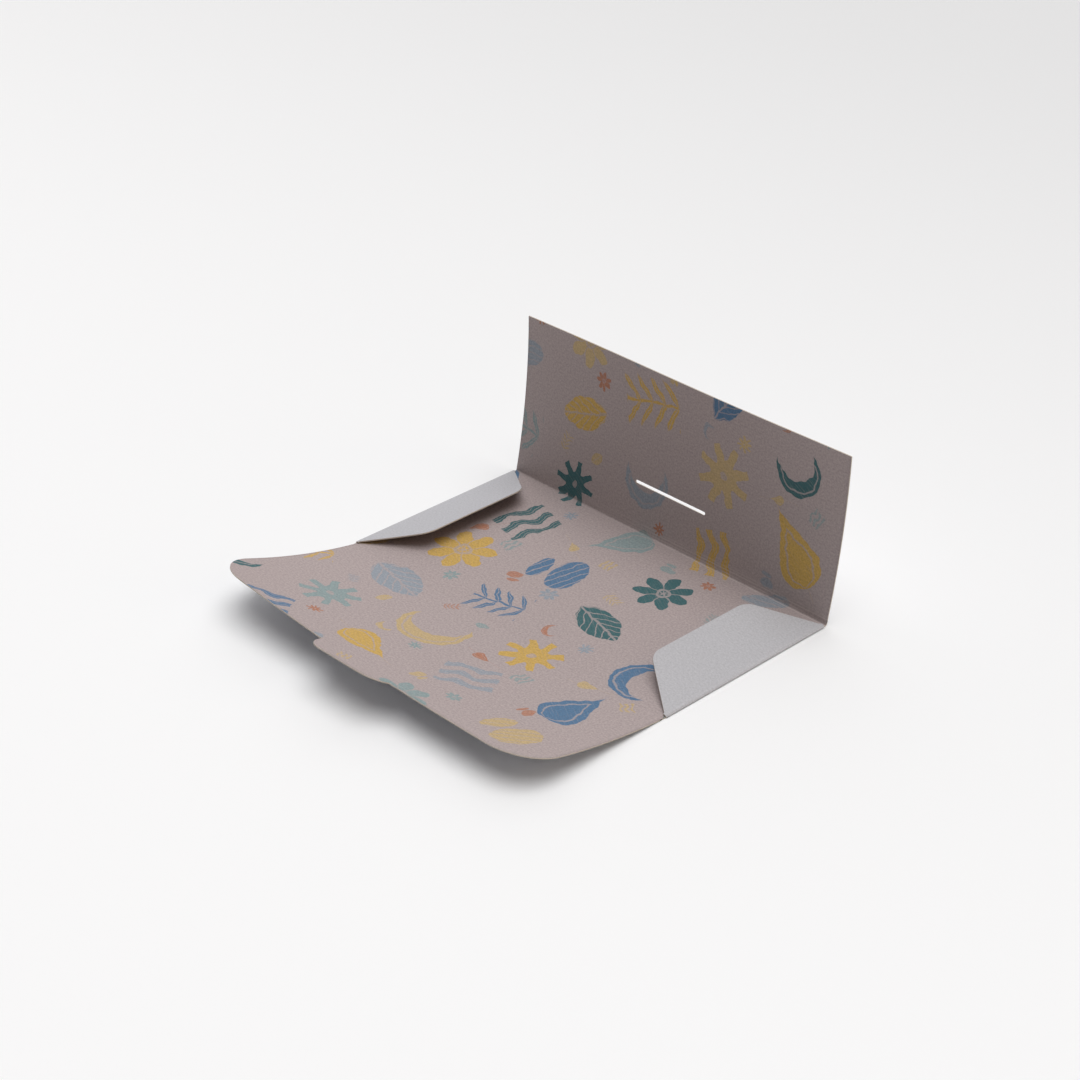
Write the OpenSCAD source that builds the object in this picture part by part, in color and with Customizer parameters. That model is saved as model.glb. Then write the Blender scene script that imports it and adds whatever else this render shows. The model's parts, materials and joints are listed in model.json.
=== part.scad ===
// Gift card holder: one die-cut sheet of printed card stock.
// A base panel lies flat, a cover panel stands on its back crease, two side
// flaps fold in over the base, and a closure flap with a tongue lies in front.
// Closed, the tongue tucks into the slit of the cover.
//
// X runs along the front and back creases, +Y points to the back crease, and
// the origin is the centre of the base panel's underside. Every panel is drawn
// flat beyond its crease and is then folded up about that crease's axis.

/* [Card stock] */
// Thickness of the card stock
stock_t = 0.3; // [0.2:0.05:0.5]
// Air between two layers that lie folded on each other
layer_gap = 0.06; // [0.04:0.02:0.16]
// Running clearance between a crease and the panel edges that turn round it
crease_gap = 0.03; // [0.02:0.01:0.06]

/* [Base panel] */
// Width of the base along the front and back creases
base_w = 108; // [96:1:130]
// Depth of the base from the front crease to the back crease
base_d = 56.5; // [55:0.5:64]

/* [Cover panel] */
// Height of the cover, measured along the sheet from the back crease
cover_h = 44; // [36:0.5:54]
// Lean of the cover out of the vertical at its crease, in degrees
cover_lean = 12; // [0:1:25]
// Radius of the cover's bow towards the front
cover_bow_r = 210; // [150:10:600]

/* [Slit in the cover] */
// Width of the slit across its length
slit_w = 0.9; // [0.6:0.1:2.4]
// Play of the tongue at each end of the slit
slit_play = 0.4; // [0.1:0.1:1.5]
// How far the closure flap's shoulders lap past the slit when it is closed
shoulder_lap = 0.5; // [0:0.1:4]

/* [Closure flap] */
// Depth of the closure flap, measured along the sheet to its shoulders
closure_d = 44.5; // [38:0.5:48]
// Radius of its two front corners
closure_corner_r = 11.6; // [4:0.2:20]
// Rise of the closure flap at its crease, in degrees
closure_rise = 5; // [0:1:15]
// Radius of its upward curl
closure_curl_r = 170; // [120:10:600]
// Width of the tongue
tongue_w = 23.2; // [16:0.2:40]
// Length of the tongue beyond the shoulders
tongue_d = 5; // [3:0.25:8]
// Radius of the tongue's corners
tongue_corner_r = 4.5; // [1:0.25:5]

/* [Side flaps] */
// Width of a side flap from its crease to its inner edge
side_flap_w = 16; // [10:0.5:24]
// Slant of the flap's two ends, in degrees
side_flap_slant = 35; // [15:1:42]
// Radius of the flap's two inner corners
side_flap_corner_r = 4.8; // [1:0.2:7]
// Spring of a side flap up from the base, in degrees
side_flap_spring = 15; // [8:1:35]
// Gap that parts a side crease from the front and back creases at the corners
corner_gap = 0.3; // [0.2:0.05:1]

/* [Hidden] */

print_side = [0.70, 0.655, 0.65];
plain_side = [0.725, 0.725, 0.745];
crease_line = [0.62, 0.575, 0.57];

// Height of the side creases' axes: the flap folds flat onto the base
side_axis_z = stock_t + layer_gap / 2;
// Height of the front and back creases' axes: these fold over the side flaps
long_axis_z = side_axis_z + (stock_t + layer_gap) / 2;

// Fold of each panel at rest, counted up from the sheet laid flat
cover_fold = 90 - cover_lean;
closure_fold = closure_rise;
side_fold = 180 - side_flap_spring;

// Quarter turns that carry the back crease's place to the other three
front_turn = 180;
left_turn = 90;
right_turn = -90;

// The slit takes the tongue, and its place follows the closed closure flap
slit_l = tongue_w + 2 * slit_play;
slit_up = base_d + shoulder_lap - closure_d;

// Length of a side crease between the two long creases
side_crease_l = base_d - 2 * (long_axis_z + corner_gap);

// Facets of small rounds and of the wide cylinders that bow the panels
small_fn = 64;
bow_fn = 720;
// Length by which a cutter stands out of what it cuts
over = 1;

function unit(v) = v / norm(v);

// Half the angle between the two edges that meet at corner q
function half_angle(p, q, n) = acos(unit(p - q) * unit(n - q)) / 2;

// Point on the edge from corner q to p where a round of radius r begins
function tangent_point(p, q, n, r) =
    q + unit(p - q) * r / tan(half_angle(p, q, n));

// Centre of the round of radius r in corner q
function round_centre(p, q, n, r) =
    q + unit(unit(p - q) + unit(n - q)) * r / sin(half_angle(p, q, n));

// Depth of a length of bowed sheet seen square on to its crease
function bowed_reach(length, bow_r) = bow_r * sin(length / bow_r * 180 / PI);

// Places children at one of the four creases, folded up about its axis
module at_crease(turn, crease_y, axis_z, fold = 0)
    rotate([0, 0, turn])
        translate([0, crease_y, axis_z])
            rotate([fold, 0, 0])
                translate([0, 0, -axis_z])
                    children();

// Convex outline with corner i rounded to radii[i]; 0 leaves it sharp
module rounded_outline(points, radii) {
    last = len(points) - 1;
    before = [for (i = [0:last]) points[i == 0 ? last : i - 1]];
    after = [for (i = [0:last]) points[i == last ? 0 : i + 1]];
    polygon([
        for (i = [0:last], side = [before[i], after[i]])
            radii[i] == 0 ? points[i]
            : tangent_point(side, points[i],
                            side == before[i] ? after[i] : before[i], radii[i])
    ]);
    for (i = [0:last])
        if (radii[i] > 0)
            translate(round_centre(before[i], points[i], after[i], radii[i]))
                circle(r = radii[i], $fn = small_fn);
}

// Oblong hole with round ends, along X
module oblong(length, width) {
    square([length - width, width], center = true);
    for (side = [-1, 1])
        translate([side * (length - width) / 2, 0])
            circle(d = width, $fn = small_fn);
}

// Round channel along a crease, in which the crease bends and the panels turn
module crease_channel(length, axis_z)
    translate([0, 0, axis_z])
        rotate([0, 90, 0])
            cylinder(r = axis_z + crease_gap, h = length + 2 * over,
                     center = true, $fn = small_fn);

// The bend of the sheet at a crease: its outside runs on from the underside of
// the base to the outside of the folded panel
module crease_bend(length, axis_z, fold) {
    lap = acos(axis_z / (axis_z + crease_gap));
    translate([0, 0, axis_z])
        rotate([0, 90, 0])
            rotate([0, 0, -lap])
                rotate_extrude(angle = fold + 2 * lap, $fn = small_fn)
                    translate([axis_z - stock_t, -length / 2])
                        square([stock_t, length]);
}

// Sheet with the outline of its children, bowed upwards from the crease
module bowed_sheet(width, bow_r)
    intersection() {
        // Half the radius is above the panel's edge and below the cylinder's top
        linear_extrude(bow_r / 2)
            children();
        translate([0, 0, stock_t + bow_r])
            rotate([0, 90, 0])
                difference() {
                    cylinder(r = bow_r + stock_t, h = width + 2 * over,
                             center = true, $fn = bow_fn);
                    cylinder(r = bow_r, h = width + 4 * over,
                             center = true, $fn = bow_fn);
                }
    }

module base_outline() square([base_w, base_d], center = true);

module cover_outline()
    difference() {
        translate([-base_w / 2, 0])
            square([base_w, bowed_reach(cover_h, cover_bow_r)]);
        translate([0, bowed_reach(slit_up, cover_bow_r)])
            oblong(slit_l, slit_w);
    }

module closure_outline() {
    shoulder_y = bowed_reach(closure_d, closure_curl_r);
    tip_y = bowed_reach(closure_d + tongue_d, closure_curl_r);
    rounded_outline(
        [[-base_w / 2, 0], [base_w / 2, 0],
         [base_w / 2, shoulder_y], [-base_w / 2, shoulder_y]],
        [0, 0, closure_corner_r, closure_corner_r]);
    rounded_outline(
        [[-tongue_w / 2, 0], [tongue_w / 2, 0],
         [tongue_w / 2, tip_y], [-tongue_w / 2, tip_y]],
        [0, 0, tongue_corner_r, tongue_corner_r]);
}

module side_flap_outline() {
    root = side_crease_l / 2;
    inner = root - side_flap_w * tan(side_flap_slant);
    rounded_outline(
        [[-root, 0], [root, 0], [inner, side_flap_w], [-inner, side_flap_w]],
        [0, 0, side_flap_corner_r, side_flap_corner_r]);
}

module base_panel()
    color(print_side)
        difference() {
            linear_extrude(stock_t)
                base_outline();
            for (turn = [0, front_turn])
                at_crease(turn, base_d / 2, long_axis_z)
                    crease_channel(base_w, long_axis_z);
            for (turn = [left_turn, right_turn])
                at_crease(turn, base_w / 2, side_axis_z)
                    crease_channel(base_d, side_axis_z);
        }

module cover_panel()
    color(print_side)
        at_crease(0, base_d / 2, long_axis_z, cover_fold)
            difference() {
                bowed_sheet(base_w, cover_bow_r)
                    cover_outline();
                crease_channel(base_w, long_axis_z);
            }

module closure_flap()
    color(print_side)
        at_crease(front_turn, base_d / 2, long_axis_z, closure_fold)
            difference() {
                bowed_sheet(base_w, closure_curl_r)
                    closure_outline();
                crease_channel(base_w, long_axis_z);
            }

module side_flap(turn)
    color(plain_side)
        at_crease(turn, base_w / 2, side_axis_z, side_fold)
            difference() {
                linear_extrude(stock_t)
                    side_flap_outline();
                crease_channel(side_crease_l, side_axis_z);
            }

module left_side_flap() side_flap(left_turn);

module right_side_flap() side_flap(right_turn);

module back_crease()
    color(crease_line)
        at_crease(0, base_d / 2, long_axis_z)
            crease_bend(base_w, long_axis_z, cover_fold);

module front_crease()
    color(crease_line)
        at_crease(front_turn, base_d / 2, long_axis_z)
            crease_bend(base_w, long_axis_z, closure_fold);

module side_crease(turn)
    color(crease_line)
        at_crease(turn, base_w / 2, side_axis_z)
            crease_bend(side_crease_l, side_axis_z, side_fold);

module left_crease() side_crease(left_turn);

module right_crease() side_crease(right_turn);

base_panel();
cover_panel();
closure_flap();
left_side_flap();
right_side_flap();
back_crease();
front_crease();
left_crease();
right_crease();
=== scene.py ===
# %% [markdown]
# # A folding gift card holder of printed card stock
# The real holder is one die-cut sheet. A press prints one side, a steel rule
# cuts the outline and four blunt rules score the creases, and then the maker
# folds it by hand. This lesson models it the same way: every panel is cut flat,
# gets its thickness, is marked with its place on the flat sheet, and is only
# then bowed and folded about its crease.

# %% Load the measured frame
import json
from collections import namedtuple
from functools import partial, reduce
from math import cos, pi, radians, sin, tan

import bpy
from mathutils import Matrix, Vector


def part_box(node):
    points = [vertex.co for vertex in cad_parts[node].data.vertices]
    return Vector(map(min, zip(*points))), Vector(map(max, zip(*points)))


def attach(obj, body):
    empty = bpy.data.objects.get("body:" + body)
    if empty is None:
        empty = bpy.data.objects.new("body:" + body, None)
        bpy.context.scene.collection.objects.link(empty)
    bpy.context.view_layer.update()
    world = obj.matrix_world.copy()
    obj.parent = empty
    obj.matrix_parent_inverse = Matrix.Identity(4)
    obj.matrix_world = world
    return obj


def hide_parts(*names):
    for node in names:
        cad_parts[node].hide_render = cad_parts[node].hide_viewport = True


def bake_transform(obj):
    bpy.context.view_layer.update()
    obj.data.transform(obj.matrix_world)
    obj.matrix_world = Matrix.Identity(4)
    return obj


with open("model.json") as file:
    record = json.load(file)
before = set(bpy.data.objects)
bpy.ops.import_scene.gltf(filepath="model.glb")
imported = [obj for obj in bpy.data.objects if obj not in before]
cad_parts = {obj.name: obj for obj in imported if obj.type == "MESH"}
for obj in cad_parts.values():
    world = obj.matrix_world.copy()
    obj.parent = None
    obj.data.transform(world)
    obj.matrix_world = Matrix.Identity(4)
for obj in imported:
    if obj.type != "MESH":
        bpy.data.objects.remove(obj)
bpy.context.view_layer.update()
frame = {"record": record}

# %% [markdown]
# ## Sizes
# The joints of the frame say exactly where the creases run, and the base panel
# says how thick the stock is. Lengths that lie flat on the sheet follow with each
# panel, as they would stand on the die maker's drawing, and with them the angle
# to which the panel is folded and the radius to which it has bowed since.

# %% The creases and the sheet
MM = 0.001
joints = frame["record"]["behaviour"]["joints"]
hinge = {joint["name"]: Vector(joint["pos_m"]) for joint in joints}
long_axis_z = hinge["cover_fold"].z
side_axis_z = hinge["left_flap_fold"].z
base_half_w = hinge["right_flap_fold"].x
base_half_d = hinge["cover_fold"].y
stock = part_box("base_panel")[1][2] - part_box("base_panel")[0][2]
print("base in mm:", round(2 * base_half_w / MM, 2), "x", round(2 * base_half_d / MM, 2),
      "and stock", round(stock / MM, 3))

# %% [markdown]
# ## Camera
# The picture looks down on the holder from its front right. A long lens keeps
# the two long creases nearly parallel. The camera is turned by its azimuth and
# elevation round a point on the table, so its place is worked out from them.

# %% The camera
camera_azimuth = radians(46.122)
camera_elevation = radians(30.167)
camera_distance = 0.59015
camera_target = Vector((-0.02304, 0.00745, 0))
lens_in_mm = 77.2
sensor_in_mm = 36
away = Vector((sin(camera_azimuth) * cos(camera_elevation),
               -cos(camera_azimuth) * cos(camera_elevation),
               sin(camera_elevation)))
bpy.ops.object.camera_add(
    location=camera_target + away * camera_distance,
    rotation=(pi / 2 - camera_elevation, 0, camera_azimuth))
camera = bpy.context.object
camera.name = "studio_camera"
camera.data.lens = lens_in_mm
camera.data.sensor_width = sensor_in_mm
camera.data.clip_start = 10 * MM
bpy.context.scene.camera = camera
print("camera stands at", [round(value, 4) for value in camera.location])

# %% [markdown]
# ## Shader helpers
# The finishes below are arithmetic on the flat sheet's own coordinates. Writing
# each node by hand would bury the idea, so a helper adds a node, sets or links
# its inputs and hands back its output. A function that works in one tree makes
# itself a short form first: op = partial(calc, tree), and then op("ADD", a, b).

# %% Helpers for values
def feed(tree, socket, value):
    """Link a socket to another, or set it to a plain value."""
    if isinstance(value, bpy.types.NodeSocket):
        tree.links.new(value, socket)
    else:
        socket.default_value = value


def calc(tree, operation, *values):
    """One Math node: calc(tree, "ADD", a, b) is a + b."""
    node = tree.nodes.new("ShaderNodeMath")
    node.operation = operation
    for socket, value in zip(node.inputs, values):
        feed(tree, socket, value)
    return node.outputs[0]


def chain(op, operation, *values):
    """One operation over many values: chain(op, "ADD", a, b, c) is a + b + c."""
    return reduce(partial(op, operation), values)


def weigh(op, *pairs):
    """The sum of values, each times its weight."""
    result = 0.0
    for value, weight in pairs:
        result = op("MULTIPLY_ADD", value, weight, result)
    return result


def length_of(op, x, y):
    """The distance of (x, y) from the middle."""
    return op("SQRT", op("MULTIPLY_ADD", x, x, op("MULTIPLY", y, y)))


def distance_to(op, value, place):
    """How far a value is from a place, on either side of it."""
    return op("ABSOLUTE", op("SUBTRACT", value, place))


def soft_step(tree, value, low, high):
    """0 below low, 1 above high, and smooth between them."""
    node = tree.nodes.new("ShaderNodeMapRange")
    node.interpolation_type = "SMOOTHSTEP"
    feed(tree, node.inputs["Value"], value)
    feed(tree, node.inputs["From Min"], low)
    feed(tree, node.inputs["From Max"], high)
    return node.outputs["Result"]


def soft_fall(tree, value, low, high):
    """1 below low, 0 above high, and smooth between them."""
    return calc(tree, "SUBTRACT", 1.0, soft_step(tree, value, low, high))


# %% Helpers for colours and vectors
def rgb(red, green, blue):
    """A colour written as on a screen, 0 to 255, turned into light values."""
    def light(value):
        value = value / 255
        return value / 12.92 if value <= 0.04045 else ((value + 0.055) / 1.055) ** 2.4
    return (light(red), light(green), light(blue), 1)


def noise(tree, vector, scale, detail=2.0, roughness=0.5):
    """A Noise texture's grey value."""
    node = tree.nodes.new("ShaderNodeTexNoise")
    feed(tree, node.inputs["Vector"], vector)
    feed(tree, node.inputs["Scale"], scale)
    node.inputs["Detail"].default_value = detail
    node.inputs["Roughness"].default_value = roughness
    return node.outputs["Fac"]


def blend_colour(tree, amount, first, second, mode="MIX"):
    """Mix two colours."""
    # Mix has an A, a B and a Result for each kind of value; these are the colour ones
    colour_a, colour_b, colour_out = 6, 7, 2
    node = tree.nodes.new("ShaderNodeMix")
    node.data_type = "RGBA"
    node.blend_type = mode
    feed(tree, node.inputs["Factor"], amount)
    feed(tree, node.inputs[colour_a], first)
    feed(tree, node.inputs[colour_b], second)
    return node.outputs[colour_out]


def split(tree, vector):
    """The X and Y of a vector."""
    node = tree.nodes.new("ShaderNodeSeparateXYZ")
    feed(tree, node.inputs[0], vector)
    return node.outputs[0], node.outputs[1]


def join(tree, x, y, z=0.0):
    """A vector of three values."""
    node = tree.nodes.new("ShaderNodeCombineXYZ")
    for socket, value in zip(node.inputs, (x, y, z)):
        feed(tree, socket, value)
    return node.outputs[0]


def drawn_out(tree, u, v, stretch, squeeze):
    """A vector that makes a texture long along u and fine across it."""
    return join(tree, calc(tree, "MULTIPLY", u, stretch), calc(tree, "MULTIPLY", v, squeeze))


def toned(tree, colour, tone):
    """A colour made lighter or darker by a tone near 1."""
    return blend_colour(tree, 1.0, colour, join(tree, tone, tone, tone), "MULTIPLY")


# %% Helpers for node groups
FLOAT = "NodeSocketFloat"
VECTOR = "NodeSocketVector"
COLOUR = "NodeSocketColor"


def new_group(name, takes, gives):
    """A node group with named inputs and outputs; returns it and its two ends."""
    tree = bpy.data.node_groups.new(name, "ShaderNodeTree")
    for label, kind, value in takes:
        socket = tree.interface.new_socket(label, in_out="INPUT", socket_type=kind)
        if value is not None:
            socket.default_value = value
    for label, kind in gives:
        tree.interface.new_socket(label, in_out="OUTPUT", socket_type=kind)
    inside = tree.nodes.new("NodeGroupInput").outputs
    out = tree.nodes.new("NodeGroupOutput").inputs
    return tree, inside, out


def use_group(tree, group, **values):
    """Place a group in a material or another group and fill its inputs."""
    node = tree.nodes.new("ShaderNodeGroup")
    node.node_tree = group
    for label, value in values.items():
        feed(tree, node.inputs[label.replace("_", " ")], value)
    return node.outputs


# %% [markdown]
# ## Table and light
# The holder lies on a seamless white table; painted shade turns its colour pale grey behind.
# The main light is a wide, soft sun almost overhead. It meets the table square
# on and only grazes the steep cover, so the cover's printed face is in shade. A
# second one from behind on the left pushes the shadows to the front right, and
# a low, warm one from the right catches the cut edges. A sun lights the table
# evenly, which a lamp close by wouldn't. The world gives little light, but
# shows the camera and every reflection a pale backdrop.

# %% The table
def clear_selection():
    """Leave edit mode, if it is on, and select nothing."""
    if bpy.context.object and bpy.context.object.mode != "OBJECT":
        bpy.ops.object.mode_set(mode="OBJECT")
    bpy.ops.object.select_all(action="DESELECT")


floor_size = 8
floor_drop = 0.05 * MM
floor_near = rgb(249, 249, 250)
# The far grey is painted shade: the table's colour darkens behind, where less light reaches
floor_far_painted_shade = rgb(226, 226, 227)
fall_start = -0.12
fall_end = 0.54
clear_selection()
bpy.ops.mesh.primitive_plane_add(size=floor_size, location=(0, 0, -floor_drop))
floor = bpy.context.object
floor.name = "white_table"
floor_finish = bpy.data.materials.new("white_table")
floor_finish.use_nodes = True
floor_tree = floor_finish.node_tree
floor_shader = floor_tree.nodes["Principled BSDF"]
floor_shader.inputs["Roughness"].default_value = 0.9
floor_shader.inputs["Specular IOR Level"].default_value = 0.1
floor_place = floor_tree.nodes.new("ShaderNodeTexCoord").outputs["Object"]
# Painted shade: the table's colour runs from near white at the front to grey going back
painted_shade_share = soft_step(floor_tree, split(floor_tree, floor_place)[1], fall_start, fall_end)
feed(floor_tree, floor_shader.inputs["Base Color"],
     blend_colour(floor_tree, painted_shade_share, floor_near, floor_far_painted_shade))
floor.data.materials.append(floor_finish)
print("table", floor_size, "m wide, grey from", fall_start, "to", fall_end, "m")

# %% The lamps
WHITE = (1, 1, 1)
WARM = (1, 0.84, 0.66)
LAMPS = [
    # name, where it shines from, how wide it looks in degrees, strength, colour
    ("overhead_sun", Vector((0.10, 0.05, 1.20)), 60, 1.88, WHITE),
    ("back_left_sun", Vector((-0.60, 0.60, 0.90)), 80, 1.08, WHITE),
    ("warm_right_sun", Vector((1.00, 0.15, 0.40)), 60, 0.42, WARM),
]
for name, place, width, strength, colour in LAMPS:
    facing = (-place).to_track_quat("-Z", "Y").to_euler()
    bpy.ops.object.light_add(type="SUN", location=place, rotation=facing)
    lamp = bpy.context.object
    lamp.name = name
    lamp.data.angle = radians(width)
    lamp.data.energy = strength
    lamp.data.color = colour
    print(name, "is", width, "degrees wide, strength", strength)

# %% The world
room_light = 0.1
room_backdrop = 0.86
world = bpy.data.worlds.new("pale_room")
world.use_nodes = True
room = world.node_tree
room_op = partial(calc, room)
ray = room.nodes.new("ShaderNodeLightPath").outputs
shown = chain(room_op, "MAXIMUM",
              ray["Is Camera Ray"], ray["Is Glossy Ray"], ray["Is Transmission Ray"])
backdrop = room.nodes["Background"].inputs
backdrop["Color"].default_value = (1, 1, 1, 1)
feed(room, backdrop["Strength"],
     room_op("MULTIPLY_ADD", shown, room_backdrop - room_light, room_light))
bpy.context.scene.world = world
bpy.context.scene.view_settings.view_transform = "Standard"
print("world lights with", room_light, "and shows", room_backdrop)

# %% [markdown]
# ## Paper fibre
# Uncoated stock is never one flat tone. Fibres clump into clouds about a
# millimetre across, with finer felt between them, and now and then a longer
# fibre shows. One group makes a tone and a height from these, and every face of
# the holder uses it with its own strength.

# %% The fibre group
def make_fibre_group():
    """A tone near 1 and a height between 0 and 1, from the place on the sheet."""
    tree, inside, out = new_group(
        "Paper fibre",
        [("Sheet", VECTOR, None), ("Cloud Scale", FLOAT, 0.9), ("Strength", FLOAT, 1.0)],
        [("Tone", FLOAT), ("Height", FLOAT)])
    op = partial(calc, tree)
    middle = 0.5
    times_finer = 3.0
    sheet = inside["Sheet"]
    clouds = noise(tree, sheet, inside["Cloud Scale"], detail=3.0, roughness=0.6)
    felt_scale = op("MULTIPLY", inside["Cloud Scale"], times_finer)
    felt = noise(tree, sheet, felt_scale, detail=2.0, roughness=0.6)
    lengthwise = drawn_out(tree, *split(tree, sheet), stretch=0.35, squeeze=2.6)
    strands = soft_step(tree, noise(tree, lengthwise, scale=1.6, detail=1.0),
                        low=0.62, high=0.72)
    # Each part is followed by its share in the tone, and then in the height
    shade = weigh(op, (op("SUBTRACT", clouds, middle), 0.24),
                  (op("SUBTRACT", felt, middle), 0.13), (strands, 0.025))
    feed(tree, out["Tone"], op("MULTIPLY_ADD", shade, inside["Strength"], 1.0))
    feed(tree, out["Height"], weigh(op, (felt, 0.7), (clouds, 0.3), (strands, 0.3)))
    return tree


fibre_group = make_fibre_group()
print("fibre group has", len(fibre_group.nodes), "nodes")

# %% [markdown]
# ## The motifs of the print
# The inside carries an all-over print of small cut-paper shapes. Here they are
# plain garden ones: a leaf, a drop, a daisy, a crescent, water waves, a sprig,
# a star and pebbles. Each is a distance: below zero is ink, above is paper. A
# picture would do the same job, but a formula stays sharp at any zoom and needs
# no file. Each function gives the outline and the lines that are carved in it.

# %% Motif helpers
# x and y run from -1 to 1, side is the distance from the motif's own axis,
# reach the distance from its middle, and turn the angle round it
Spot = namedtuple("Spot", "x y side reach turn")


def within(op, value, place, half):
    """Below zero where a value is nearer to a place than half a width."""
    return op("SUBTRACT", distance_to(op, value, place), half)


def oval(op, spot, x, y, half_w, half_h):
    """Below zero inside an oval round (x, y)."""
    across = op("DIVIDE", op("SUBTRACT", spot.x, x), half_w)
    up = op("DIVIDE", op("SUBTRACT", spot.y, y), half_h)
    return op("SUBTRACT", length_of(op, across, up), 1.0)


# %% Leaf, drop and sprig
def leaf(op, spot):
    """Two arcs that meet in points, with a midrib and slanting veins."""
    arc_middle, arc_radius = 0.62, 1.17
    rib_half = 0.035
    vein_slope, vein_step, vein_half = -1.2, 0.17, 0.028
    arc = length_of(op, op("ADD", spot.side, arc_middle), spot.y)
    slope = op("MULTIPLY_ADD", spot.side, vein_slope, spot.y)
    rib = op("SUBTRACT", spot.side, rib_half)
    vein = op("SUBTRACT", op("PINGPONG", slope, vein_step), vein_half)
    return op("SUBTRACT", arc, arc_radius), op("MINIMUM", rib, vein)


def drop(op, spot):
    """Round at one end and pointed at the other, with a line along its edge."""
    fullness = 0.47
    line_in, line_half = 0.22, 0.03
    circle = op("MULTIPLY_ADD", spot.y, op("MULTIPLY", spot.y, -1.0), 1.0)
    round_part = op("SQRT", op("MAXIMUM", circle, 0.0))
    width = chain(op, "MULTIPLY", op("SUBTRACT", 1.0, spot.y), round_part, fullness)
    outline = op("SUBTRACT", spot.side, width)
    return outline, within(op, outline, -line_in, line_half)


def sprig(op, spot):
    """Pairs of slanting leaves on a stem."""
    leaf_slope, leaf_step = -0.7, 0.23
    leaf_out, leaf_squeeze, leaf_sink, leaf_radius = 0.34, 0.62, 0.19, 0.29
    stem_half, stem_end, rib_half = 0.04, 0.93, 0.015
    slope = op("MULTIPLY_ADD", spot.side, leaf_slope, spot.y)
    step = op("WRAP", slope, leaf_step, -leaf_step)
    out_from = op("MULTIPLY", op("SUBTRACT", spot.side, leaf_out), leaf_squeeze)
    blade = length_of(op, out_from, op("ADD", op("ABSOLUTE", step), leaf_sink))
    whole = op("MINIMUM", op("SUBTRACT", blade, leaf_radius),
               op("SUBTRACT", spot.side, stem_half))
    outline = op("MAXIMUM", whole, within(op, spot.y, 0.0, stem_end))
    return outline, within(op, step, 0.0, rib_half)


# %% Daisy and star
def daisy(op, spot):
    """Seven petals, parted by bare lines, round a ring."""
    petals = 7
    petal_reach, petal_base = 0.48, 0.46
    ring_radius, ring_half, line_half = 0.2, 0.05, 0.06
    petal = op("ABSOLUTE", op("SINE", op("MULTIPLY", spot.turn, petals / 2)))
    outline = op("SUBTRACT", spot.reach, op("MULTIPLY_ADD", petal, petal_reach, petal_base))
    eye = within(op, spot.reach, ring_radius, ring_half)
    parting = op("SUBTRACT", op("MULTIPLY", petal, spot.reach), line_half)
    return outline, op("MINIMUM", eye, parting)


def star(op, spot):
    """Eight blunt rays round a bare dot."""
    rays = 8
    ray_half, ray_end, dot_radius = 0.42, 0.84, 0.12
    swing = op("ABSOLUTE", op("SINE", op("MULTIPLY", spot.turn, rays / 2)))
    side = op("SUBTRACT", op("MULTIPLY", swing, spot.reach), ray_half)
    outline = op("MAXIMUM", side, op("SUBTRACT", spot.reach, ray_end))
    return outline, op("SUBTRACT", spot.reach, dot_radius)


# %% Crescent, waves and pebbles
def crescent(op, spot):
    """A disc with a bite out of it, and a line along its outer edge."""
    disc_radius = 0.92
    bite_across, bite_radius = 0.42, 0.78
    line_radius, line_half = 0.76, 0.03
    bite = length_of(op, op("SUBTRACT", spot.x, bite_across), spot.y)
    outline = op("MAXIMUM", op("SUBTRACT", spot.reach, disc_radius),
                 op("SUBTRACT", bite_radius, bite))
    return outline, within(op, spot.reach, line_radius, line_half)


def waves(op, spot):
    """Wavy bars, cut off square at both ends."""
    swing, swings = 0.11, 6.0
    bar_step, bar_half = 0.3, 0.15
    half_w, half_h = 0.86, 0.72
    line_in, line_half = 0.08, 0.012
    level = op("MULTIPLY_ADD", op("SINE", op("MULTIPLY", spot.x, swings)), swing, spot.y)
    bars = op("SUBTRACT", op("PINGPONG", level, bar_step), bar_half)
    ends = op("MAXIMUM", op("SUBTRACT", spot.side, half_w), within(op, spot.y, 0.0, half_h))
    return op("MAXIMUM", bars, ends), within(op, bars, -line_in, line_half)


def pebbles(op, spot):
    """A large and a small oval, both hatched."""
    hatch_slope, hatch_step, hatch_half = 0.35, 0.13, 0.022
    # An oval's value grows faster than a true distance, so it is slowed down
    slowed = 0.5
    large = oval(op, spot, x=0.0, y=0.3, half_w=0.86, half_h=0.5)
    small = oval(op, spot, x=0.12, y=-0.6, half_w=0.6, half_h=0.27)
    slope = op("MULTIPLY_ADD", spot.x, hatch_slope, spot.y)
    hatch = op("SUBTRACT", op("PINGPONG", slope, hatch_step), hatch_half)
    return op("MULTIPLY", op("MINIMUM", large, small), slowed), hatch


# %% The motif group
MOTIFS = [leaf, drop, daisy, crescent, waves, sprig, star, pebbles]


def make_motif_group():
    """Pick, from 0 to 1, chooses the motif that is drawn at X and Y."""
    tree, inside, out = new_group(
        "Garden motif",
        [("X", FLOAT, 0.0), ("Y", FLOAT, 0.0), ("Pick", FLOAT, 0.0), ("Softness", FLOAT, 0.02)],
        [("Ink", FLOAT), ("Carved", FLOAT)])
    op = partial(calc, tree)
    x, y, soft = inside["X"], inside["Y"], inside["Softness"]
    spot = Spot(x, y, op("ABSOLUTE", x), length_of(op, x, y), op("ARCTAN2", y, x))
    inner = op("MULTIPLY", soft, -1.0)
    half = 0.5
    ink = 0.0
    carved = 0.0
    for number, motif in enumerate(MOTIFS):
        outline, lines = motif(op, spot)
        counted = op("MULTIPLY_ADD", inside["Pick"], float(len(MOTIFS)), -number - half)
        chosen = op("LESS_THAN", op("ABSOLUTE", counted), half)
        ink = op("MULTIPLY_ADD", soft_fall(tree, outline, inner, soft), chosen, ink)
        carved = op("MULTIPLY_ADD", soft_fall(tree, lines, inner, soft), chosen, carved)
    feed(tree, out["Ink"], ink)
    feed(tree, out["Carved"], op("MULTIPLY", carved, ink))
    return tree


motif_group = make_motif_group()
print("motif group has", len(motif_group.nodes), "nodes")

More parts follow.
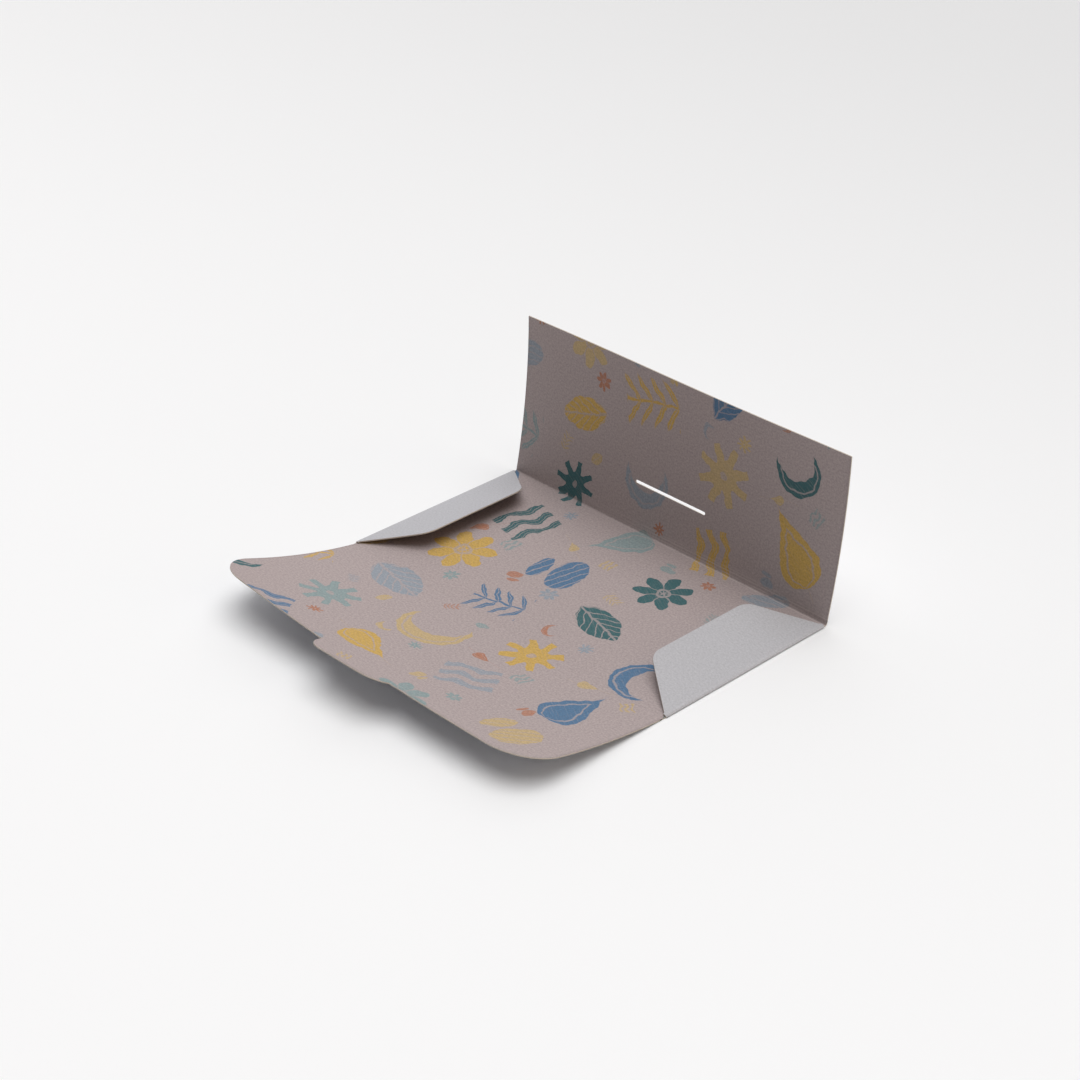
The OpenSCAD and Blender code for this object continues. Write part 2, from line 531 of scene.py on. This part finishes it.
# %% [markdown]
# ## The half-drop repeat
# A fabric printer moves every second column of a pattern down by half a step,
# so that no rows show. The next group does that: it splits the sheet into
# cells, gives each its own turn, shift and size from White Noise, and hands the
# motif group a small coordinate system that runs from -1 to 1. Shape and colour
# aren't left to chance: they count on by fixed steps along and across, so that
# no two neighbours are alike.

# %% Helpers for the cells of the print
def throw_dice(tree, *place):
    """Three chance values from 0 to 1 that belong to one place."""
    thrower = tree.nodes.new("ShaderNodeTexWhiteNoise")
    thrower.noise_dimensions = "3D"
    feed(tree, thrower.inputs["Vector"], join(tree, *place))
    parts = tree.nodes.new("ShaderNodeSeparateColor")
    feed(tree, parts.inputs[0], thrower.outputs["Color"])
    return parts.outputs


def from_middle(op, value, cell, step, shift):
    """The distance from the middle of a cell, once that is shifted."""
    half = 0.5
    middle = op("MULTIPLY", op("ADD", cell, half), step)
    return chain(op, "SUBTRACT", value, middle, shift)


def turned(op, x, y, angle):
    """A place turned round the middle."""
    cosine = op("COSINE", angle)
    sine = op("SINE", angle)
    return (op("SUBTRACT", op("MULTIPLY", x, cosine), op("MULTIPLY", y, sine)),
            op("ADD", op("MULTIPLY", x, sine), op("MULTIPLY", y, cosine)))


def in_turn(op, count, choices):
    """A value from 0 to 1 that takes the choices in turn as the count goes on."""
    half = 0.5
    return op("FRACT", op("DIVIDE", op("ADD", count, half), choices))


# %% The repeat group
def make_repeat_group():
    """From a place on the sheet to the place in its cell, and what the cell holds."""
    tree, inside, out = new_group(
        "Half drop repeat",
        [("Sheet", VECTOR, None), ("Cell Width", FLOAT, 24.0), ("Cell Height", FLOAT, 21.0),
         ("Column", FLOAT, 24.0), ("Offset", FLOAT, 0.0), ("Radius", FLOAT, 6.0),
         ("Jitter", FLOAT, 1.5), ("Seed", FLOAT, 0.0), ("Shapes", FLOAT, float(len(MOTIFS))),
         ("Tints", FLOAT, 9.0)],
        [("X", FLOAT), ("Y", FLOAT), ("Pick", FLOAT), ("Tint", FLOAT), ("Keep", FLOAT)])
    op = partial(calc, tree)
    half = 0.5
    next_throw = 17.0
    least_size, size_spread = 0.76, 0.32
    width, height, seed = inside["Cell Width"], inside["Cell Height"], inside["Seed"]

    u, v = split(tree, inside["Sheet"])
    column = op("FLOOR", op("DIVIDE", u, inside["Column"]))
    half_drop = chain(op, "MULTIPLY", op("FLOORED_MODULO", column, 2.0), half, height)
    dropped = chain(op, "ADD", v, half_drop, inside["Offset"])
    across = op("FLOOR", op("DIVIDE", u, width))
    down = op("FLOOR", op("DIVIDE", dropped, height))

    chance_x, chance_y, chance_turn = throw_dice(tree, across, down, seed)
    keep, _, growth = throw_dice(tree, across, down, op("ADD", seed, next_throw))
    # Chance runs from 0 to 1, and a shift from minus Jitter to Jitter
    jitter = op("MULTIPLY", inside["Jitter"], 2.0)
    shift_x = op("MULTIPLY", op("SUBTRACT", chance_x, half), jitter)
    shift_y = op("MULTIPLY", op("SUBTRACT", chance_y, half), jitter)
    size = op("MULTIPLY", inside["Radius"], op("MULTIPLY_ADD", growth, size_spread, least_size))
    x, y = turned(op, from_middle(op, u, across, width, shift_x),
                  from_middle(op, dropped, down, height, shift_y),
                  op("MULTIPLY", chance_turn, 2 * pi))
    shape_count = weigh(op, (across, 3.0), (down, 2.0), (seed, 1.0))
    tint_count = weigh(op, (across, 2.0), (down, 4.0), (seed, 1.0))

    feed(tree, out["X"], op("DIVIDE", x, size))
    feed(tree, out["Y"], op("DIVIDE", y, size))
    feed(tree, out["Pick"], in_turn(op, shape_count, inside["Shapes"]))
    feed(tree, out["Tint"], in_turn(op, tint_count, inside["Tints"]))
    feed(tree, out["Keep"], keep)
    return tree


repeat_group = make_repeat_group()
print("repeat group has", len(repeat_group.nodes), "nodes")

# %% [markdown]
# ## The whole print
# Two repeats lie over each other: large motifs in full colours, and small ones
# in washed tints in the gaps. The ink is laid on thinly, so paper shows through
# as dry specks, the edges wander a little, and carved lines stay bare.

# %% Inks and layers
BLUE = rgb(86, 117, 147)
TEAL = rgb(62, 99, 103)
MUSTARD = rgb(194, 160, 90)
TERRACOTTA = rgb(170, 120, 98)
PALE_TEAL = rgb(138, 153, 154)
PALE_YELLOW = rgb(187, 164, 124)
PALE_BLUE = rgb(145, 152, 161)
PAPER = rgb(172, 159, 158)
LAYERS = [
    # cell width, offset, radius, jitter, seed, softness, share kept, colours
    # (a share over 1 keeps every motif)
    (12.0, 10.5, 2.7, 0.6, 5.0, 0.05, 0.62,
     [PALE_YELLOW, TERRACOTTA, PALE_TEAL, PALE_BLUE, TERRACOTTA, PALE_YELLOW, PALE_TEAL]),
    (24.0, 0.0, 9.5, 0.9, 2.0, 0.013, 1.1,
     [BLUE, PALE_YELLOW, TEAL, MUSTARD, PALE_TEAL, BLUE, MUSTARD, TEAL, PALE_BLUE]),
]
print("cell widths in mm:", [layer[0] for layer in LAYERS])


# %% The choice of an ink
def palette(tree, value, colours):
    """Pick one of several colours by a value from 0 to 1."""
    node = tree.nodes.new("ShaderNodeValToRGB")
    ramp = node.color_ramp
    ramp.interpolation = "CONSTANT"
    while len(ramp.elements) < len(colours):
        ramp.elements.new(0.5)
    # The stops stay sorted by place, so every place is set before any colour
    for number in range(len(colours)):
        ramp.elements[number].position = number / len(colours)
    for number, colour in enumerate(colours):
        ramp.elements[number].color = colour
    feed(tree, node.inputs[0], value)
    return node.outputs[0]


# %% How the ink lies
def wobble(tree, sheet, u, v):
    """How far the edges wander along u and along v, so that none is quite straight."""
    op = partial(calc, tree)
    wobble_scale, wobble_width = 0.34, 1.8
    middle = 0.5
    elsewhere = join(tree, v, u, 4.0)
    return [op("MULTIPLY", op("SUBTRACT", value, middle), wobble_width)
            for value in (noise(tree, sheet, wobble_scale, detail=1.5),
                          noise(tree, elsewhere, wobble_scale, detail=1.5))]


def dry_ink(tree, sheet, u, v):
    """The share of paper that shows through the ink, as specks and brushed streaks."""
    op = partial(calc, tree)
    slant = 0.6
    speck_share, streak_share, least_share = 0.42, 0.17, 0.02
    slanted = op("MULTIPLY_ADD", u, slant, v)
    brushed = drawn_out(tree, u, slanted, stretch=0.25, squeeze=2.2)
    streaks = soft_step(tree, noise(tree, brushed, scale=1.0, detail=2.0),
                        low=0.48, high=0.72)
    specks = soft_step(tree, noise(tree, sheet, scale=2.4, detail=3.0, roughness=0.7),
                       low=0.60, high=0.72)
    return op("MAXIMUM", op("MULTIPLY", specks, speck_share),
              op("MULTIPLY_ADD", streaks, streak_share, least_share))


# %% The print group
print_shift = 4.0


def make_print_group():
    """The colour of the printed face, and how much ink lies on it."""
    tree, inside, out = new_group(
        "Garden print",
        [("Sheet", VECTOR, None), ("Paper", COLOUR, PAPER)],
        [("Colour", COLOUR), ("Ink", FLOAT)])
    op = partial(calc, tree)
    carved_share = 0.72
    sheet = inside["Sheet"]
    u, v = split(tree, sheet)
    shifted = op("SUBTRACT", u, print_shift)
    wobble_u, wobble_v = wobble(tree, sheet, u, v)
    drawn = join(tree, op("ADD", shifted, wobble_u), op("ADD", v, wobble_v))
    dry = dry_ink(tree, sheet, shifted, v)
    colour = inside["Paper"]
    ink_total = 0.0
    for cell, offset, radius, jitter, seed, softness, share, colours in LAYERS:
        place = use_group(tree, repeat_group, Sheet=drawn, Cell_Width=cell, Offset=offset,
                          Radius=radius, Jitter=jitter, Seed=seed, Tints=float(len(colours)))
        shape = use_group(tree, motif_group, X=place["X"], Y=place["Y"], Pick=place["Pick"],
                          Softness=softness)
        kept = op("LESS_THAN", place["Keep"], share)
        bare = op("MAXIMUM", dry, op("MULTIPLY", shape["Carved"], carved_share))
        amount = chain(op, "MULTIPLY", shape["Ink"], kept, op("SUBTRACT", 1.0, bare))
        colour = blend_colour(tree, amount, colour, palette(tree, place["Tint"], colours))
        ink_total = op("MAXIMUM", ink_total, amount)
    feed(tree, out["Colour"], colour)
    feed(tree, out["Ink"], ink_total)
    return tree


print_group = make_print_group()
print("print group has", len(print_group.nodes), "nodes and", len(LAYERS), "layers")

# %% [markdown]
# ## The three faces of the stock
# Each panel shows three finishes: the printed inside, the cool grey reverse and
# the pale core where the steel rule cut it. All three read the UV map named
# sheet, which holds the place on the flat sheet in millimetres, so the print
# runs on unbroken over every crease.

# %% Finish helpers
def start_finish(name, roughness):
    """A material, its shader, its node tree and the flat sheet's vector."""
    finish = bpy.data.materials.new(name)
    finish.use_nodes = True
    tree = finish.node_tree
    shader = tree.nodes["Principled BSDF"]
    shader.inputs["Specular IOR Level"].default_value = 0.1
    shader.inputs["Roughness"].default_value = roughness
    place = tree.nodes.new("ShaderNodeUVMap")
    place.uv_map = "sheet"
    return finish, tree, shader.inputs, place.outputs[0]


def add_grain(tree, shader, height, strength, depth):
    """Let a height raise the surface a little."""
    bump = tree.nodes.new("ShaderNodeBump")
    bump.inputs["Strength"].default_value = strength
    bump.inputs["Distance"].default_value = depth
    feed(tree, bump.inputs["Height"], height)
    feed(tree, shader["Normal"], bump.outputs[0])


# %% Painted shade and wear along the creases
def crease_shade_and_wear(tree, sheet):
    """How strongly a scored crease is marked, 0 to 1: painted shade on the printed face, rubbed
    pale fibre on the reverse. The front one is hardly bent.
    """
    op = partial(calc, tree)
    faint_share = 0.12
    least_share, share_spread = 0.25, 0.5
    u, v = split(tree, sheet)
    from_back = distance_to(op, v, base_half_d / MM)
    from_front = distance_to(op, v, -base_half_d / MM)
    from_side = distance_to(op, op("ABSOLUTE", u), base_half_w / MM)
    # On the print this band is painted shade in the crease; on the reverse it is rubbed pale
    # fibre
    deep = soft_fall(tree, op("MINIMUM", from_back, from_side), low=0.0, high=0.95)
    faint = soft_fall(tree, from_front, low=0.0, high=0.5)
    uneven = noise(tree, sheet, scale=1.7, detail=2.0)
    ragged = op("MULTIPLY_ADD", uneven, share_spread, least_share)
    return op("MULTIPLY", op("MAXIMUM", deep, op("MULTIPLY", faint, faint_share)), ragged)


def scuffed_ribs(tree, sheet):
    """Fine broken ribs along the back crease, which fade out to the left."""
    op = partial(calc, tree)
    rib_step, band_middle = 0.38, 0.5
    u, v = split(tree, sheet)
    past_crease = op("SUBTRACT", v, base_half_d / MM)
    ribs = soft_step(tree, op("PINGPONG", past_crease, rib_step), low=0.20, high=0.30)
    band = soft_fall(tree, distance_to(op, past_crease, band_middle), low=0.8, high=2.0)
    lengthwise = drawn_out(tree, u, v, stretch=0.15, squeeze=1.3)
    broken = soft_step(tree, noise(tree, lengthwise, scale=1.0, detail=2.0),
                       low=0.32, high=0.52)
    to_right = soft_step(tree, u, low=-38.0, high=8.0)
    return chain(op, "MULTIPLY", ribs, band, broken, to_right)


# %% The printed inside
# The dark along the creases of the print is painted shade
PAINTED_CREASE_SHADE = rgb(128, 117, 115)
BARE_FIBRE = rgb(205, 193, 190)


def make_printed_finish():
    """Ink on paper, darkened by painted shade in the creases and scuffed past one of them."""
    roughness = 0.84
    ink_shine = 0.12
    crease_share, rib_share = 0.45, 0.45
    finish, tree, shader, sheet = start_finish("printed_inside", roughness)
    op = partial(calc, tree)
    fibre = use_group(tree, fibre_group, Sheet=sheet, Cloud_Scale=1.9, Strength=3.8)
    pattern = use_group(tree, print_group, Sheet=sheet, Paper=PAPER)
    grained = toned(tree, pattern["Colour"], fibre["Tone"])
    # Painted shade: the print darkens along the back and side creases
    shade_and_wear = op("MULTIPLY", crease_shade_and_wear(tree, sheet), crease_share)
    ribs = op("MULTIPLY", scuffed_ribs(tree, sheet), rib_share)
    scored = blend_colour(tree, shade_and_wear, grained, PAINTED_CREASE_SHADE)
    feed(tree, shader["Base Color"], blend_colour(tree, ribs, scored, BARE_FIBRE))
    feed(tree, shader["Roughness"],
         weigh(op, (fibre["Tone"], roughness), (pattern["Ink"], -ink_shine)))
    add_grain(tree, shader, fibre["Height"], strength=0.35, depth=0.05 * MM)
    return finish


printed_inside = make_printed_finish()
print(printed_inside.name, "has", len(printed_inside.node_tree.nodes), "nodes")

# %% The grey reverse
REVERSE = rgb(188, 187, 191)
WORN_REVERSE = rgb(206, 204, 205)


def make_reverse_finish():
    """The unprinted reverse, rubbed pale in the creases."""
    roughness = 0.86
    crease_share = 0.3
    finish, tree, shader, sheet = start_finish("grey_reverse", roughness)
    op = partial(calc, tree)
    fibre = use_group(tree, fibre_group, Sheet=sheet, Cloud_Scale=1.9, Strength=2.4)
    shade_and_wear = op("MULTIPLY", crease_shade_and_wear(tree, sheet), crease_share)
    feed(tree, shader["Base Color"],
         blend_colour(tree, shade_and_wear, toned(tree, REVERSE, fibre["Tone"]), WORN_REVERSE))
    feed(tree, shader["Roughness"], op("MULTIPLY", fibre["Tone"], roughness))
    add_grain(tree, shader, fibre["Height"], strength=0.45, depth=0.05 * MM)
    return finish


grey_reverse = make_reverse_finish()
print(grey_reverse.name, "has", len(grey_reverse.node_tree.nodes), "nodes")

# %% The cut core
CUT_CORE = rgb(198, 187, 175)


def make_cut_finish():
    """The core of the stock, bare where it was cut."""
    finish, tree, shader, sheet = start_finish("cut_core", roughness=0.9)
    fibre = use_group(tree, fibre_group, Sheet=sheet, Cloud_Scale=2.5, Strength=2.2)
    feed(tree, shader["Base Color"], toned(tree, CUT_CORE, fibre["Tone"]))
    add_grain(tree, shader, fibre["Height"], strength=0.5, depth=0.04 * MM)
    return finish


cut_core = make_cut_finish()
print(cut_core.name, "has", len(cut_core.node_tree.nodes), "nodes")

# %% [markdown]
# ## Cutting a panel from the flat sheet
# A panel starts as one plane of its own size. Corners are rounded by a vertex
# bevel, as the steel rule is bent round them. A bisect then slices the panel
# into narrow strips, because a face can't bend in its middle, and Solidify
# gives it the thickness of the stock.

# %% Start a panel and round its corners
def start_panel(name, x_low, x_high, y_low, y_high):
    """A plane between two corners, active and alone selected."""
    clear_selection()
    middle = ((x_low + x_high) / 2, (y_low + y_high) / 2, 0)
    bpy.ops.mesh.primitive_plane_add(size=1, location=middle)
    panel = bpy.context.object
    panel.name = name
    panel.data.name = name
    panel.scale = (x_high - x_low, y_high - y_low, 1)
    bpy.ops.object.transform_apply(location=True, rotation=False, scale=True)
    return panel


def select_points(panel, wanted):
    """Select the points whose place passes the test, and go to edit mode."""
    bpy.ops.object.mode_set(mode="OBJECT")
    bpy.context.tool_settings.mesh_select_mode = (True, False, False)
    for part in (panel.data.polygons, panel.data.edges):
        for item in part:
            item.select = False
    for point in panel.data.vertices:
        point.select = bool(wanted(point.co))
    bpy.ops.object.mode_set(mode="EDIT")


def round_corners(panel, wanted, offset, segments):
    """Round the chosen corners; offset runs along the two edges that meet."""
    select_points(panel, wanted)
    bpy.ops.mesh.bevel(offset=offset, offset_type="OFFSET", affect="VERTICES",
                       segments=segments)
    bpy.ops.object.mode_set(mode="OBJECT")


# %% Slice a panel and give it its thickness
ACROSS = Vector((1, 0, 0))
ALONG = Vector((0, 1, 0))


def slice_panel(axis, places):
    """Cut the open panel across one axis at every place."""
    bpy.ops.object.mode_set(mode="EDIT")
    for place in places:
        bpy.ops.mesh.select_all(action="SELECT")
        bpy.ops.mesh.bisect(plane_co=axis * place, plane_no=axis)
    bpy.ops.object.mode_set(mode="OBJECT")


def spread(low, high, step):
    """Even places strictly between low and high, about one step apart."""
    count = max(2, round((high - low) / step))
    return [low + (high - low) * number / count for number in range(1, count)]


def thicken(panel, thickness):
    """Give the panel its stock: the plane is its underside, the print its top."""
    solid = panel.modifiers.new("stock", "SOLIDIFY")
    solid.thickness = thickness
    solid.offset = 1
    bpy.ops.object.modifier_apply(modifier=solid.name)
    low = min(point.co.z for point in panel.data.vertices)
    for point in panel.data.vertices:
        point.co.z -= low


# %% [markdown]
# ## Marking and folding
# While the panel is flat, its UV map takes the place of each point on the
# sheet, and its faces get their finish by the way they face. Only then is it
# rolled to its bow. A roll is exact in a few lines: the distance along the
# sheet becomes an angle. Simple Deform could do it, but it would have to be
# lined up with the crease by eye.

# %% Marking helpers
# Degrees that carry the place of the back crease to each side
QUARTER_TURNS = {"back": 0, "front": 180, "left": 90, "right": -90}
FINISHES = (printed_inside, grey_reverse, cut_core)


def crease_place(side):
    """Half the base in this direction, the height of the axis, and the turn."""
    long_side = side in ("back", "front")
    distance = base_half_d if long_side else base_half_w
    axis_z = long_axis_z if long_side else side_axis_z
    return distance, axis_z, Matrix.Rotation(radians(QUARTER_TURNS[side]), 3, "Z")


def finish_of(face):
    """The number of the finish of a flat panel's face, by the way it faces."""
    steep = 0.5
    if face.normal.z > steep:
        return FINISHES.index(printed_inside)
    if face.normal.z < -steep:
        return FINISHES.index(grey_reverse)
    return FINISHES.index(cut_core)


def mark_sheet(panel, side=None, start=0.0):
    """Write the flat sheet's millimetres to the UV map, and set the finishes."""
    if side:
        distance, _, turn = crease_place(side)
    else:
        distance, turn = 0.0, Matrix.Identity(3)
    mesh = panel.data
    sheet = mesh.uv_layers.new(name="sheet")
    for loop in mesh.loops:
        point = mesh.vertices[loop.vertex_index].co
        flat = turn @ Vector((point.x, point.y - start + distance, 0))
        sheet.data[loop.index].uv = (flat.x / MM, flat.y / MM)
    for layer in [layer for layer in mesh.uv_layers if layer.name != "sheet"]:
        mesh.uv_layers.remove(layer)
    mesh.materials.clear()
    for finish in FINISHES:
        mesh.materials.append(finish)
    for face in mesh.polygons:
        face.material_index = finish_of(face)


# %% Folding helpers
def fold_about(point, axis_z, fold):
    """Turn a point up about a crease that runs along X at this height."""
    return Vector((point.x,
                   point.y * cos(fold) - (point.z - axis_z) * sin(fold),
                   axis_z + point.y * sin(fold) + (point.z - axis_z) * cos(fold)))


def fold_panel(panel, side, bow, fold, wave=None):
    """Roll the flat panel to its bow, add its wave, and fold it at its crease."""
    distance, axis_z, turn = crease_place(side)
    for point in panel.data.vertices:
        x, along, up = point.co
        angle = along / bow
        radius = bow + stock - up
        rolled = Vector((x, radius * sin(angle), bow + stock - radius * cos(angle)))
        if wave:
            sideways, upwards = wave(x, along)
            rolled += Vector((sideways, 0, upwards))
        folded = fold_about(rolled, axis_z, fold)
        point.co = turn @ Vector((folded.x, folded.y + distance, folded.z))


smooth_angle = radians(32)


def finish_panel(panel, body, slot, *nodes):
    """Smooth the panel, let it ride, and let it stand for its solids."""
    clear_selection()
    panel.select_set(True)
    bpy.context.view_layer.objects.active = panel
    bpy.ops.object.shade_smooth_by_angle(angle=smooth_angle)
    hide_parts(*nodes)
    if body:
        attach(panel, body)
    print(panel.name, len(panel.data.polygons), "faces, size in mm",
          [round(value / MM, 2) for value in panel.dimensions])


# %% [markdown]
# ## Base panel
# The base lies flat on the table and carries everything. Its edges stop just
# short of the creases, because the bends there are pieces of their own.

# %% The base
edge_gap = 0.3 * MM
strip_step = 4 * MM
base_sheet = start_panel("base_sheet", -base_half_w + edge_gap, base_half_w - edge_gap,
                         -base_half_d + edge_gap, base_half_d - edge_gap)
slice_panel(ACROSS, spread(-base_half_w, base_half_w, 2 * strip_step))
slice_panel(ALONG, spread(-base_half_d, base_half_d, 2 * strip_step))
thicken(base_sheet, stock)
mark_sheet(base_sheet)
finish_panel(base_sheet, "base", "printed_card", "base_panel")

# %% [markdown]
# ## Cover panel
# The cover is a plain rectangle with one die-cut slit for the tongue. The slit
# is cut by a Boolean with an oblong cutter while the panel is still flat,
# because a hole in a bowed sheet would come out skewed.

# %% The slit
slit_up = 12.5 * MM
slit_length = 24 * MM
slit_width = 0.9 * MM


def cut_slit(panel, length, width, up):
    """Cut an oblong hole through the flat panel."""
    almost_half = 0.49
    cutter_height = 4 * stock
    cutter_sink = 1.5 * stock
    cutter = start_panel("slit_cutter", -length / 2, length / 2, up - width / 2, up + width / 2)
    round_corners(cutter, lambda point: True, width * almost_half, segments=8)
    bpy.ops.object.mode_set(mode="EDIT")
    bpy.ops.mesh.select_all(action="SELECT")
    bpy.ops.mesh.extrude_region_move(TRANSFORM_OT_translate={"value": (0, 0, cutter_height)})
    bpy.ops.mesh.select_all(action="SELECT")
    bpy.ops.mesh.normals_make_consistent(inside=False)
    bpy.ops.transform.translate(value=(0, 0, -cutter_sink))
    bpy.ops.object.mode_set(mode="OBJECT")
    clear_selection()
    panel.select_set(True)
    bpy.context.view_layer.objects.active = panel
    hole = panel.modifiers.new("slit", "BOOLEAN")
    hole.operation = "DIFFERENCE"
    hole.solver = "EXACT"
    hole.object = cutter
    bpy.ops.object.modifier_apply(modifier=hole.name)
    bpy.data.objects.remove(cutter)


# %% The cover
cover_height = 44 * MM
cover_fold = radians(78)
cover_bow = 210 * MM
wave_height = 0.35 * MM
wave_turns = 1.1
wave_start = 0.6


def cover_wave(x, along):
    """The free edge of the cover wanders by a fraction of a millimetre."""
    swing = sin(2 * pi * wave_turns * x / (2 * base_half_w) + wave_start)
    return 0, wave_height * swing * (along / cover_height) ** 2


cover_sheet = start_panel("cover_sheet", -base_half_w, base_half_w, edge_gap, cover_height)
slice_panel(ALONG, spread(edge_gap, cover_height, strip_step / 2))
slice_panel(ACROSS, spread(-base_half_w, base_half_w, 1.5 * strip_step))
thicken(cover_sheet, stock)
cut_slit(cover_sheet, slit_length, slit_width, slit_up)
mark_sheet(cover_sheet, "back")
fold_panel(cover_sheet, "back", cover_bow, cover_fold, cover_wave)
finish_panel(cover_sheet, "cover", "printed_card", "cover_panel")

# %% [markdown]
# ## Closure flap
# The closure flap has two wide round corners and a short tongue in the middle
# of its free edge. Card that was folded once never lies quite flat again. It
# curls up all over, its left corner lifts more than its right, and its middle
# sags between them.

# %% The sizes of the closure flap
closure_depth = 44.5 * MM
closure_fold = radians(5)
closure_curl = 170 * MM
closure_corner = 11.6 * MM
tongue_half_w = 11.6 * MM
tongue_length = 5 * MM
tongue_corner = 4.5 * MM
print("closure flap with its tongue in mm:", round((closure_depth + tongue_length) / MM, 2))

# %% The set of the closure flap
left_lift = 3.45 * MM
right_lift = -0.7 * MM
middle_sag = 1.85 * MM
tongue_lift = 1.2 * MM
side_drift = 1.3 * MM
lift_power = 1.1


def closure_twist(x, along):
    """How far a point leaves the plain roll, sideways and upwards."""
    to_left = 0.5 + x / (2 * base_half_w)
    reached = along / closure_depth
    corners = right_lift + (left_lift - right_lift) * to_left
    rise = (corners - middle_sag * sin(pi * to_left)) * reached ** lift_power
    on_tongue = max(along - closure_depth, 0) / tongue_length
    rise += tongue_lift * on_tongue * (0.5 - x / (2 * tongue_half_w))
    return side_drift * min(2 * to_left, 1) * reached, rise


print("free edge above the plain roll in mm, from left to right:",
      [round(closure_twist(x, closure_depth)[1] / MM, 2) for x in (base_half_w, 0, -base_half_w)])

# %% The closure flap
closure_sheet = start_panel("closure_sheet", -base_half_w, base_half_w, edge_gap, closure_depth)
slice_panel(ACROSS, (-tongue_half_w, tongue_half_w))
at_end = closure_depth - stock
select_points(closure_sheet,
              lambda point: point.y > at_end and abs(point.x) < tongue_half_w + stock)
bpy.ops.mesh.extrude_region_move(TRANSFORM_OT_translate={"value": (0, tongue_length, 0)})
round_corners(closure_sheet,
              lambda point: point.y > at_end and abs(point.x) > base_half_w - stock,
              closure_corner, segments=20)
round_corners(closure_sheet, lambda point: point.y > closure_depth + stock,
              tongue_corner, segments=12)
slice_panel(ALONG, spread(edge_gap, closure_depth + tongue_length, strip_step / 2))
slice_panel(ACROSS, spread(-base_half_w, base_half_w, strip_step))
thicken(closure_sheet, stock)
mark_sheet(closure_sheet, "front")
fold_panel(closure_sheet, "front", closure_curl, closure_fold, closure_twist)
finish_panel(closure_sheet, "closure", "printed_card", "closure_flap")

# %% [markdown]
# ## Side flaps
# The two side flaps are trapezoids with rounded inner corners. They are folded
# in over the base, so their grey reverse shows, and their spring keeps the
# inner edge a few millimetres up. Both come from one function.

# %% The side flaps
flap_width = 16 * MM
flap_slant = radians(35)
flap_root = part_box("left_crease")[1][1]
flap_corner = 4.8 * MM
flap_fold = radians(165)
flap_bow = 330 * MM


def make_side_flap(side):
    """Cut, fold and finish the flap on one side."""
    flap = start_panel(f"{side}_flap_sheet", -flap_root, flap_root, edge_gap, flap_width)
    inner = flap_root - flap_width * tan(flap_slant)
    for point in flap.data.vertices:
        if point.co.y > flap_width / 2:
            point.co.x *= inner / flap_root
    # A round of this radius uses up so much of the two edges that meet
    corner_run = flap_corner * tan((pi / 2 - flap_slant) / 2)
    round_corners(flap, lambda point: point.y > flap_width / 2, corner_run, segments=12)
    slice_panel(ALONG, spread(edge_gap, flap_width, strip_step / 3))
    slice_panel(ACROSS, spread(-flap_root, flap_root, strip_step))
    thicken(flap, stock)
    mark_sheet(flap, side)
    fold_panel(flap, side, -flap_bow, flap_fold)
    finish_panel(flap, f"{side}_flap", "plain_card", f"{side}_side_flap")


for side in ("left", "right"):
    make_side_flap(side)

# %% [markdown]
# ## Living creases
# A crease isn't a pin but a narrow band of bent fibre.

# %% The creases
wing = 0.9 * MM
bend_zone = 0.2 * MM
bend_steps = 18
skin = 0.005 * MM


def make_crease(side, half_length, fold):
    """A folded strip along one crease, blended between the base and a panel."""
    distance, axis_z, turn = crease_place(side)
    strip = start_panel(f"{side}_crease_bend", -half_length, half_length,
                        -wing, bend_zone + wing)
    slice_panel(ALONG, [bend_zone * number / bend_steps for number in range(bend_steps + 1)])
    slice_panel(ACROSS, spread(-half_length, half_length, 3 * strip_step))
    thicken(strip, stock - 2 * skin)
    mark_sheet(strip, side, bend_zone / 2)
    for point in strip.data.vertices:
        x, along, up = point.co
        bent = fold * min(max(along / bend_zone, 0), 1)
        rest = along if along < 0 else max(along - bend_zone, 0)
        folded = fold_about(Vector((x, rest, up + skin)), axis_z, bent)
        point.co = turn @ Vector((folded.x, folded.y + distance, folded.z))
    finish_panel(strip, None, "scored_card", f"{side}_crease")
    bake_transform(strip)


make_crease("back", base_half_w, cover_fold)
make_crease("front", base_half_w, closure_fold)
for side in ("left", "right"):
    make_crease(side, flap_root, flap_fold)
